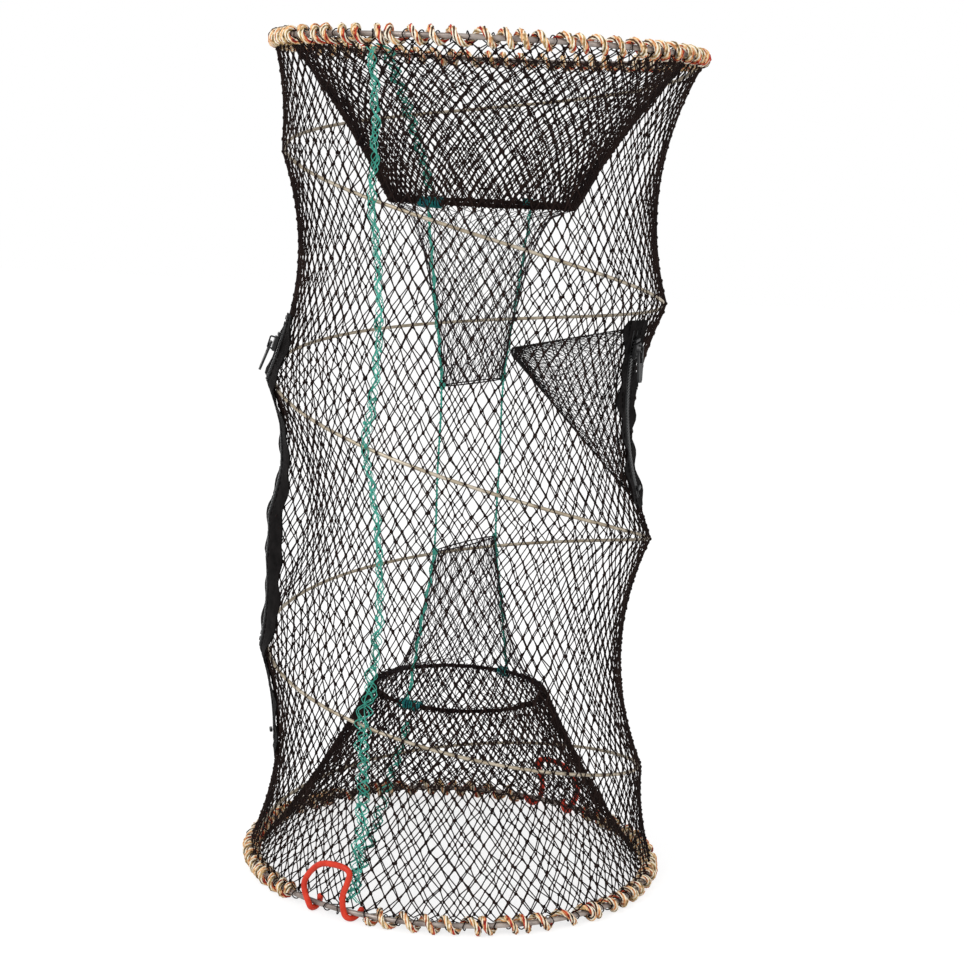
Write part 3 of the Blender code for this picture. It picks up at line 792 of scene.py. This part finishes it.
def loop_bodies(height, count, up):
    """The net's edge meshes, each looped round the hoop."""
    bodies = []
    step = 360 / count
    for i in range(count):
        angle = step * (i + 0.5 + chance.normal(0, 0.08))
        from_hook = min(abs((angle - at + 180) % 360 - 180) for at in hook_angles.values())
        if up > 0 and bare_by_hook[0] < from_hook < bare_by_hook[1]:
            continue
        reach = chance.uniform(*loop_reach)
        turn = np.linspace(0, 2 * math.pi, 13)
        lean = np.radians(angle) + loop_lean * np.sin(turn / 2) * chance.choice((-1, 1))
        radius = hoop_radius + reach * np.cos(turn)
        rise = height + reach * np.sin(turn)
        route = np.stack([radius * np.cos(lean), radius * np.sin(lean), rise], -1)
        bodies.append(sweep(route, twine, 5, capped=False))
        near = polar(hoop_radius, angle, height + up * reach)
        inside = polar(hoop_radius - reach, angle, height)
        for corner in (step * i, step * (i + 1)):
            edge = polar(hoop_radius, corner, height + up * net_edge)
            mouth = polar(hoop_radius - ring_reach - funnel_clear, corner, height)
            bodies.append(prisms(np.array([near, inside]), np.array([edge, mouth]), twine))
            bodies.append(knots_at(np.array([edge, mouth]), knot))
    return bodies


def build_hoops():
    rear, front = hook_angles["rear_hook"], hook_angles["front_hook"]
    half = 180 - 2 * wrap_gap
    for end, height, body, up in (("bottom", bottom_z, "base", 1), ("top", top_z, "top_hoop", -1)):
        route = circle(hoop_radius, height, 180)
        wire = sweep(route, hoop_seen, 14, ring_frames(route), ring=True)
        settle(piece(f"{end}_hoop_wire", [wire], [hoop_steel]), body, "steel_wire", f"{end}_ring")
        loops = loop_bodies(height, net_columns, up)
        settle(piece(f"{end}_net_loops", loops, [black]), body, "black_netting")
    item = piece("top_winding", wrap_bodies(2, 356.5, top_z, False), yarns)
    settle(item, "top_hoop", "wrap_twine", "top_ring_wrap")
    for side, start in (("left", rear + wrap_gap), ("right", front + wrap_gap)):
        item = piece(f"bottom_winding_{side}", wrap_bodies(start, half, bottom_z, True), yarns)
        settle(item, "base", "wrap_twine", f"bottom_ring_wrap_{side}")


def build_coil():
    steps = 88
    route = []
    for i in range(round(coil_turns * steps) + 1):
        turns = i / steps
        height = coil_height(turns)
        route.append(polar(coil_reach(turns), 360 * turns, height, sway_at(height)))
    item = piece("coil_spring_wire", [sweep(route, coil_seen, 12)], [coil_steel])
    settle(item, "base", "steel_wire", "coil_spring", fold=whole_fold)


# Throats


def build_throats():
    for end, height, radius in (
        ("top", top_throat_z, top_throat_radius),
        ("bottom", bottom_throat_z, bottom_throat_radius),
    ):
        route = circle(radius, height, 300)
        frames = ring_frames(route)
        hem = laid(route, hem_core, 6, hem_turn, 5, ring=True, frames=frames, fray=hem_fray)
        gathers = []
        for i in range(funnel_columns):
            start = 360 * i / funnel_columns
            reach = throat_hem * chance.uniform(*gather_reach)
            lean = chance.uniform(*gather_lean)
            gathers.append(sweep(wound(start, lean, 1, height, radius, reach, 12), twine, 5))
        item = piece(f"{end}_throat_hem", hem + gathers, [black])
        settle(item, f"{end}_throat", "black_netting", f"{end}_throat_ring")
        for side, angle, loops in (("front", slit_angle, 9), ("rear", slit_angle - 180, 4)):
            sweep_angle = loops * whipping_step
            start = angle - sweep_angle / 2
            route = wound(start, sweep_angle, loops, height, radius, whipping_reach, 14, 0.05)
            bodies = laid(route, whipping_cord, 2, 0.004, 6)
            item = piece(f"{end}_{side}_whipping", bodies, [teal])
            settle(item, f"{end}_throat", "green_twine", f"{end}_throat_{side}_whipping")


# Green cords and lacing


def build_inner_cords():
    top_start = top_throat_z - cord_clear
    bottom_start = bottom_throat_z + cord_clear
    half_slit = slit_width / 2
    fold_to = (folded(bottom_throat_z) + cord_clear, folded(top_throat_z) - cord_clear)
    for side, angle in (("front", slit_angle), ("rear", slit_angle - 180)):
        ways = [
            (top_throat_radius, top_start),
            ((top_throat_radius + half_slit) / 2, (top_start + top_slit_z) / 2),
            (half_slit, top_slit_z),
            (half_slit, (top_slit_z + bottom_slit_z) / 2),
            (half_slit, bottom_slit_z),
            ((bottom_throat_radius + half_slit) / 2, (bottom_start + bottom_slit_z) / 2),
            (bottom_throat_radius, bottom_start),
        ]
        route = smooth_path([polar(radius + cord_beside, angle, z) for radius, z in ways], 260)
        bodies = laid(route, inner_cord, 2, cord_turn, 6)
        for first, last in ((0, 88), (172, 260)):
            beside_route = route[first : last + 1].copy()
            wave = loose_wave * np.sin(np.arange(len(beside_route)) * loose_waves)
            tangent = np.array((-math.sin(math.radians(angle)), math.cos(math.radians(angle)), 0.0))
            bodies += laid(beside_route + wave[:, None] * tangent, loose_strand, 2, 0.004, 5)
        for height in (top_slit_z, bottom_slit_z):
            place = polar(half_slit + cord_beside / 2, angle, height)
            bodies.append(knots_at(place[None], cord_knot, 1.4))
        fold = fold_between(bottom_start, fold_to[0], top_start, fold_to[1])
        item = piece(f"{side}_cord", bodies, [green])
        settle(item, "base", "green_twine", f"{side}_inner_cord", fold=fold)


def zigzag(low, high, pitch, width, place, phase=0):
    count = round((high - low) / pitch * 2)
    knots = []
    for step in range(count + 1):
        side = width / 2 * (1 if (step + phase) % 2 else -1) * chance.uniform(0.75, 1.15)
        knots.append(place(side, low + (high - low) * step / count))
    return smooth_path(knots, count * 5)


def build_lacing():
    def on_wall(side, height):
        drift = lacing_drift * (top_z - height) / hoop_spacing
        drift += float(np.interp(height, lacing_heights, lacing_strays))
        side *= float(np.interp(height, *lacing_spread))
        angle = lacing_angle + drift + math.degrees(side / hoop_radius)
        return on_net(angle, height, lacing_out)

    low, high = wall_low + 0.001, wall_high - 0.001
    bodies = []
    for pitch, width, phase in lacing_strands:
        bodies += laid(zigzag(low, high, pitch, width, on_wall, phase), lacing_twine, 2, 0.0035, 5)
    for height in np.arange(low + 0.005, high, lacing_knot_step):
        place = on_wall(chance.uniform(-0.0035, 0.0035), height + chance.uniform(-0.003, 0.003))
        bodies.append(knots_at(place[None], lacing_knot))
    item = piece("side_lacing", bodies, [green])
    settle(item, "base", "green_twine", "side_seam_lacing", fold=wall_fold)
    for end, hoop_z, throat_z, throat_radius in (
        ("top", top_z, top_throat_z, top_throat_radius),
        ("bottom", bottom_z, bottom_throat_z, bottom_throat_radius),
    ):
        cone = funnel_surface(hoop_z, throat_z, throat_radius)

        def on_cone(side, share):
            place = cone((lacing_angle + math.degrees(side / 0.1)) / 360, share)
            inward = place * np.array((1.0, 1.0, 0.0))
            return place - inward / np.linalg.norm(inward) * cone_lacing_in

        bodies = []
        for count, reach in cone_strands:
            shares = [0.05 + 0.87 * i / count for i in range(count + 1)]
            knots = [on_cone(reach * (1 if i % 2 else -1), share) for i, share in enumerate(shares)]
            bodies += laid(smooth_path(knots, 110), cone_twine, 2, 0.0045, 5)
        item = piece(f"{end}_cone_lacing", bodies, [green])
        settle(item, "base", "green_twine", f"{end}_funnel_lacing", fold=whole_fold)


# Zips


def box_body(centre, side, up, out, size):
    """A small block with its own directions."""
    corners = np.array([(x, y, z) for x in (-0.5, 0.5) for y in (-0.5, 0.5) for z in (-0.5, 0.5)])
    axes = np.array([side * size[0], up * size[1], out * size[2]])
    faces = [[0, 1, 3, 2], [4, 6, 7, 5], [0, 4, 5, 1], [2, 3, 7, 6], [0, 2, 6, 4], [1, 5, 7, 3]]
    return centre + corners @ axes, faces, 0


def band(place, shares, inner, outer, out, thickness, ripple, stray):
    """A tape: a closed strip between two lines beside the zip, with a rippled outer edge that strays."""
    middle = (inner + outer) / 2
    crown = thickness * 1.15
    profile = [(inner, 0.0), (inner, thickness), (middle, crown), (outer, thickness), (outer, 0.0)]
    verts = []
    for number, share in enumerate(shares):
        swell = math.sin(number * 0.9 + outer * 200) + 0.6 * math.sin(number * 0.37 + outer * 90)
        lift = ripple * (1 + swell)
        wide = stray * (0.6 * math.sin(16 * share + outer * 150) + 0.4 * math.sin(39 * share))
        drawn = float(np.interp(min(share, 1 - share), *tape_pinch))
        for side, high in profile:
            edge = abs(side - inner) / abs(outer - inner)
            across = side * (1 - drawn * edge) + wide * edge
            verts.append(place(share, across, out + high + lift * edge**2))
    sides, faces = len(profile), []
    for i in range(len(shares) - 1):
        for k in range(sides):
            after = (k + 1) % sides
            faces.append([i * sides + k, (i + 1) * sides + k, (i + 1) * sides + after, i * sides + after])
    faces.append(list(range(sides)))
    faces.append([(len(shares) - 1) * sides + k for k in reversed(range(sides))])
    return np.array(verts), faces, 0


def zip_axes(place, share):
    step = 0.003
    up = place(share - step) - place(share + step)
    up /= np.linalg.norm(up)
    out = place(share, 0, 0.01) - place(share)
    side = np.cross(up, out)
    side /= np.linalg.norm(side)
    return side, up, np.cross(side, up)


def build_zip(prefix, line, front_extra, ripple, stray):
    place = zip_line(*line)
    length = float(np.linalg.norm(place(0) - place(1)))
    shares = np.linspace(0, 1, round(length / tape_step))
    for half, sign in (("front", 1), ("rear", -1)):
        outer = bead_side + tape_width + (front_extra if sign > 0 else 0.0)
        edges = (sign * tape_start, sign * outer)
        tape = band(place, shares, *edges, tape_seat, tape_thick, ripple, stray)
        stitches = []
        for share in np.arange(0.01, 0.99, stitch_step / length):
            centre = place(share, sign * stitch_side, stitch_out)
            side, up, out = zip_axes(place, share)
            stitches.append(box_body(centre, side, up, out, stitch_size))
        item = piece(f"{prefix}_{half}_cloth", [tape] + stitches, [tape_cloth], 40)
        settle(item, "base", "zip_tape", f"{prefix}_{half}_tape", fold=whole_fold)
    first, last = tape_tail / length, 1 - tape_tail / length
    teeth = []
    count = round((last - first) * length / tooth_step)
    for i in range(count + 1):
        share = first + (last - first) * i / count
        side, up, out = zip_axes(place, share)
        sign = 1 if i % 2 else -1
        centre = place(share, sign * tooth_side, tooth_out)
        teeth.append(box_body(centre, side, up, out, tooth_size))
    for sign in (1, -1):
        route = np.array([place(share, sign * bead_side, bead_out) for share in shares])
        teeth.append(sweep(route[2:-2], bead, 6))
    item = piece(f"{prefix}_chain", teeth, [hardware], 40)
    settle(item, "base", "zip_hardware", f"{prefix}_teeth", fold=whole_fold)
    side, up, out = zip_axes(place, last)
    block = box_body(place(last, 0, stop_out), side, up, out, stop_size)
    stop = piece(f"{prefix}_end_stop", [block], [hardware], 40)
    edge = stop.modifiers.new("edge", "BEVEL")
    edge.width = stop_edge
    edge.segments = 2
    apply_modifiers(stop)
    settle(stop, "base", "zip_hardware", f"{prefix}_bottom_stop", fold=whole_fold)


# Hooks


def build_hooks():
    foot, bulge, height, hold = hook_foot, hook_bulge, hook_height, hook_hold
    chord = math.sqrt(hoop_radius**2 - foot**2)
    low = foot - 0.0050
    knots = [
        (-foot + 0.0030, -hold * 0.3, hold * 1.02),
        (-foot + 0.0016, -hold * 0.9, hold * 0.6),
        (-foot + 0.0004, -hold * 0.98, -hold * 0.3),
        (-foot - 0.0004, -hold * 0.3, -hold * 0.93),
        (-foot - 0.0012, hold * 0.66, -hold * 0.76),
        (-foot - 0.0026, hold * 1.06, 0.0014),
        (-bulge, hold * 1.1, 0.0080),
        (-bulge, hold * 1.1, 0.0150),
        (-bulge + 0.0052, hold * 1.1, 0.0232),
        (-bulge + 0.0130, hold * 1.1, height - 0.0020),
        (0.0030, hold * 1.1, height),
        (0.0125, hold * 1.1, height - 0.0006),
        (0.0158, hold * 1.1, height - 0.0040),
        (0.0138, hold * 1.1, 0.0200),
        (low + 0.0010, hold * 1.1, 0.0120),
        (low + 0.0012, hold * 1.08, 0.0050),
        (foot - 0.0024, hold * 0.95, -0.0010),
        (foot - 0.0004, hold * 0.5, -hold * 0.86),
        (foot + 0.0012, -hold * 0.35, -hold * 0.93),
        (foot + 0.0034, -hold * 1.06, -hold * 0.25),
        (foot + 0.0056, -hold * 1.16, 0.0030),
    ]
    for name, angle in hook_angles.items():
        turn = math.radians(angle)
        outward = np.array((math.cos(turn), math.sin(turn), 0.0))
        along = np.array((-math.sin(turn), math.cos(turn), 0.0))
        up = np.array((0.0, 0.0, 1.0))
        placed = [along * s + outward * (chord + q) + up * (bottom_z + h) for s, q, h in knots]
        route = smooth_path(placed, 220)
        thick = np.full(len(route), hook_wire)
        thick[:3] *= (0.55, 0.8, 0.95)
        thick[-3:] *= (0.95, 0.8, 0.55)
        item = piece(f"{name}_wire", [sweep(route, thick, 14)], [coating])
        settle(item, name, "red_coating", name)


def dress_zip_ends():
    for node in frame["nodes"].values():
        if "slider" in node.name or "pull" in node.name or "top_stop" in node.name:
            node.data.materials.clear()
            node.data.materials.append(hardware)


build_wall()
build_funnels()
build_pocket()
build_hoops()
build_coil()
build_throats()
build_inner_cords()
build_lacing()
build_zip("left_zip", left_zip, 0.0130, 0.0009, 0.0028)
build_zip("pocket_zip", pocket_zip, 0.0, 0.0013, 0.0028)
build_hooks()
dress_zip_ends()


# Floor, light and camera


def seen_or_not(nodes, links, *pairs):
    """An output for each pair of values: the first for light on things, the second as seen."""
    seen = nodes.new("ShaderNodeLightPath")
    either = nodes.new("ShaderNodeMath")
    either.operation = "MAXIMUM"
    links.new(seen.outputs["Is Camera Ray"], either.inputs[0])
    links.new(seen.outputs["Is Glossy Ray"], either.inputs[1])
    outputs = []
    for unseen, shown in pairs:
        value = nodes.new("ShaderNodeMapRange")
        value.inputs["To Min"].default_value = unseen
        value.inputs["To Max"].default_value = shown
        links.new(either.outputs[0], value.inputs["Value"])
        outputs.append(value.outputs["Result"])
    return outputs


def build_stage():
    white = Shader("white_floor", 1.0, Specular_IOR_Level=0.0)
    white.base.inputs["Emission Color"].default_value = (1.0, 1.0, 1.0, 1.0)
    glow, shade = seen_or_not(white.nodes, white.links, (0.0, floor_glow), (floor_colour, floor_shade))
    white.links.new(glow, white.base.inputs["Emission Strength"])
    white.links.new(shade, white.base.inputs["Base Color"])
    bpy.ops.mesh.primitive_plane_add(size=floor_size, location=(0, 0, 0))
    floor = bpy.context.object
    floor.name = "floor"
    floor.data.materials.append(white.made)
    world = bpy.data.worlds.new("studio")
    bpy.context.scene.world = world
    world.use_nodes = True
    nodes, links = world.node_tree.nodes, world.node_tree.links
    (strength,) = seen_or_not(nodes, links, world_light)
    nodes["Background"].inputs["Color"].default_value = (1, 1, 1, 1)
    links.new(strength, nodes["Background"].inputs["Strength"])


def area_light(name, place, size, power):
    data = bpy.data.lights.new(name, "AREA")
    data.size = size
    data.energy = power
    lamp = bpy.data.objects.new(name, data)
    lamp.location = place
    aim = Vector(lamp_target) - Vector(place)
    lamp.rotation_euler = aim.to_track_quat("-Z", "Y").to_euler()
    bpy.context.scene.collection.objects.link(lamp)


def build_camera():
    data = bpy.data.cameras.new("camera")
    data.lens = camera_lens
    data.sensor_width = 36
    camera = bpy.data.objects.new("camera", data)
    look = Matrix.Rotation(math.radians(90 - camera_pitch), 4, "X")
    roll = Matrix.Rotation(math.radians(camera_roll), 4, "Z")
    camera.matrix_world = Matrix.Translation(camera_place) @ look @ roll
    bpy.context.scene.collection.objects.link(camera)
    bpy.context.scene.camera = camera


build_stage()
for name, lamp in lamps.items():
    area_light(name, *lamp)
build_camera()
bpy.context.scene.view_settings.view_transform = "Standard"
